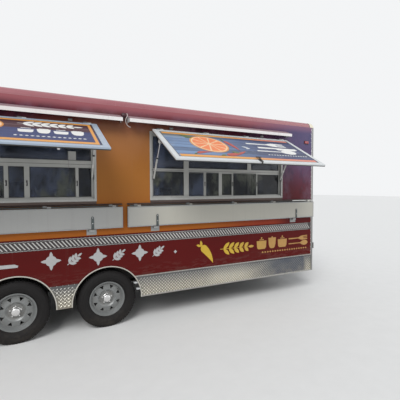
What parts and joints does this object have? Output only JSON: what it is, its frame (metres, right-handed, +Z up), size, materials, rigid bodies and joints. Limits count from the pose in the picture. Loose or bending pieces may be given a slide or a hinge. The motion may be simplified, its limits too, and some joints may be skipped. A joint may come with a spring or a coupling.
{
  "type": "food concession trailer",
  "caption": "Box-bodied food concession trailer with serving windows under propped-open hatches, fold-up shelves, inset wheels and an A-frame tongue on its jack.",
  "frame": {"origin": "on the ground, at the centre of the tongue jack's foot", "axes": "+X forward to the coupler, +Z up, serving side towards -Y"},
  "size_m": [7.89, 3.3342, 2.984],
  "materials": {
    "body_paint": "gloss maroon and orange paint",
    "frame_paint": "black chassis paint",
    "plain_steel": "zinc-grey steel",
    "floor_board": "sealed floor board",
    "trim_aluminium": "mill aluminium",
    "cap_paint": "cream cast cap",
    "tread_plate": "bright diamond plate",
    "window_glass": "tinted glass",
    "shelf_paint": "satin light grey",
    "gutter_paint": "white paint",
    "lamp_lens": "red lens",
    "wheel_silver": "silver wheel paint",
    "tyre_rubber": "dusty black rubber",
    "strut_grey": "grey tube",
    "kitchen_steel": "stainless sheet"
  },
  "bodies": {
    "trailer": {"chassis_rails": "frame_paint", "crossmembers": "frame_paint", "tongue": "frame_paint", "coupler": "plain_steel", "jack_tube": "plain_steel", "axles": "frame_paint", "floor": "floor_board", "wheel_boxes": "plain_steel", "street_wall": "body_paint", "serving_wall": "body_paint", "front_wall": "body_paint", "rear_wall": "body_paint", "roof": "body_paint", "corner_posts": "trim_aluminium", "corner_caps": "cap_paint", "skirts": "tread_plate", "window_frames": "trim_aluminium", "window_glass": "window_glass", "hinge_lugs": "trim_aluminium", "door_lugs": "trim_aluminium", "shelf_brackets": "plain_steel", "gutters": "gutter_paint", "bumper": "frame_paint", "lamps": "lamp_lens", "hook_lamp": "lamp_lens", "cylinder_tray": "frame_paint", "gas_cylinders": "gutter_paint", "roof_vents": "trim_aluminium", "kitchen": "kitchen_steel"},
    "hatch_front": {"hatch_front": "trim_aluminium"},
    "strut_tube_front_a": {"strut_tube_front_a": "strut_grey"},
    "strut_rod_front_a": {"strut_rod_front_a": "strut_grey"},
    "strut_tube_front_b": {"strut_tube_front_b": "strut_grey"},
    "strut_rod_front_b": {"strut_rod_front_b": "strut_grey"},
    "hatch_rear": {"hatch_rear": "trim_aluminium"},
    "strut_tube_rear_a": {"strut_tube_rear_a": "strut_grey"},
    "strut_rod_rear_a": {"strut_rod_rear_a": "strut_grey"},
    "strut_tube_rear_b": {"strut_tube_rear_b": "strut_grey"},
    "strut_rod_rear_b": {"strut_rod_rear_b": "strut_grey"},
    "shelf_front": {"shelf_front": "shelf_paint"},
    "shelf_rear": {"shelf_rear": "shelf_paint"},
    "rear_door": {"rear_door": "body_paint"},
    "wheel_front_street": {"rim_front_street": "wheel_silver", "tyre_front_street": "tyre_rubber"},
    "wheel_front_serving": {"rim_front_serving": "wheel_silver", "tyre_front_serving": "tyre_rubber"},
    "wheel_rear_street": {"rim_rear_street": "wheel_silver", "tyre_rear_street": "tyre_rubber"},
    "wheel_rear_serving": {"rim_rear_serving": "wheel_silver", "tyre_rear_serving": "tyre_rubber"},
    "jack_leg": {"jack_leg": "plain_steel"}
  },
  "joints": [
    {"name": "hatch_front_hinge", "type": "hinge", "parent": "trailer", "child": "hatch_front", "pos_m": [-2.572, -1.31, 2.398], "axis": [1, 0, 0], "range_deg": [0, 60.5]},
    {"name": "strut_tube_front_a_pivot", "type": "hinge", "parent": "trailer", "child": "strut_tube_front_a", "pos_m": [-3.588, -1.226, 1.8], "axis": [-1, 0, 0], "range_deg": [0, 28.9]},
    {"name": "strut_rod_front_a_slide", "type": "slide", "parent": "strut_tube_front_a", "child": "strut_rod_front_a", "axis": [0, 0.4989, -0.8666], "range_m": [0, 0.1138]},
    {"name": "strut_tube_front_b_pivot", "type": "hinge", "parent": "trailer", "child": "strut_tube_front_b", "pos_m": [-1.556, -1.226, 1.8], "axis": [-1, 0, 0], "range_deg": [0, 28.9]},
    {"name": "strut_rod_front_b_slide", "type": "slide", "parent": "strut_tube_front_b", "child": "strut_rod_front_b", "axis": [0, 0.4989, -0.8666], "range_m": [0, 0.1138]},
    {"name": "hatch_rear_hinge", "type": "hinge", "parent": "trailer", "child": "hatch_rear", "pos_m": [-5.348, -1.31, 2.398], "axis": [1, 0, 0], "range_deg": [0, 65.5]},
    {"name": "strut_tube_rear_a_pivot", "type": "hinge", "parent": "trailer", "child": "strut_tube_rear_a", "pos_m": [-6.364, -1.226, 1.8], "axis": [-1, 0, 0], "range_deg": [0, 29.54]},
    {"name": "strut_rod_rear_a_slide", "type": "slide", "parent": "strut_tube_rear_a", "child": "strut_rod_rear_a", "axis": [0, 0.5085, -0.861], "range_m": [0, 0.1337]},
    {"name": "strut_tube_rear_b_pivot", "type": "hinge", "parent": "trailer", "child": "strut_tube_rear_b", "pos_m": [-4.332, -1.226, 1.8], "axis": [-1, 0, 0], "range_deg": [0, 29.54]},
    {"name": "strut_rod_rear_b_slide", "type": "slide", "parent": "strut_tube_rear_b", "child": "strut_rod_rear_b", "axis": [0, 0.5085, -0.861], "range_m": [0, 0.1337]},
    {"name": "shelf_front_hinge", "type": "hinge", "parent": "trailer", "child": "shelf_front", "pos_m": [-2.41, -1.251, 1.464], "axis": [-1, 0, 0], "range_deg": [0, 90]},
    {"name": "shelf_rear_hinge", "type": "hinge", "parent": "trailer", "child": "shelf_rear", "pos_m": [-5.51, -1.251, 1.464], "axis": [-1, 0, 0], "range_deg": [0, 90]},
    {"name": "rear_door_hinge", "type": "hinge", "parent": "trailer", "child": "rear_door", "pos_m": [-7.124, 0.386, 1.55], "axis": [0, 0, -1], "range_deg": [0, 110]},
    {"name": "wheel_front_street_spin", "type": "hinge", "parent": "trailer", "child": "wheel_front_street", "pos_m": [-4.164, 1.0875, 0.34], "axis": [0, 1, 0], "continuous": true},
    {"name": "wheel_front_serving_spin", "type": "hinge", "parent": "trailer", "child": "wheel_front_serving", "pos_m": [-4.164, -1.0875, 0.34], "axis": [0, 1, 0], "continuous": true},
    {"name": "wheel_rear_street_spin", "type": "hinge", "parent": "trailer", "child": "wheel_rear_street", "pos_m": [-5.129, 1.0875, 0.34], "axis": [0, 1, 0], "continuous": true},
    {"name": "wheel_rear_serving_spin", "type": "hinge", "parent": "trailer", "child": "wheel_rear_serving", "pos_m": [-5.129, -1.0875, 0.34], "axis": [0, 1, 0], "continuous": true},
    {"name": "jack_leg_slide", "type": "slide", "parent": "trailer", "child": "jack_leg", "axis": [0, 0, 1], "range_m": [0, 0.3]}
  ],
  "couplings": [
    {"joint": "strut_tube_front_a_pivot", "follows": "hatch_front_hinge", "ratio": 0.47439},
    {"joint": "strut_rod_front_a_slide", "follows": "hatch_front_hinge", "m_per_rad": 0.10679},
    {"joint": "strut_tube_front_b_pivot", "follows": "hatch_front_hinge", "ratio": 0.47439},
    {"joint": "strut_rod_front_b_slide", "follows": "hatch_front_hinge", "m_per_rad": 0.10679},
    {"joint": "strut_tube_rear_a_pivot", "follows": "hatch_rear_hinge", "ratio": 0.44789},
    {"joint": "strut_rod_rear_a_slide", "follows": "hatch_rear_hinge", "m_per_rad": 0.11611},
    {"joint": "strut_tube_rear_b_pivot", "follows": "hatch_rear_hinge", "ratio": 0.44789},
    {"joint": "strut_rod_rear_b_slide", "follows": "hatch_rear_hinge", "m_per_rad": 0.11611}
  ]
}
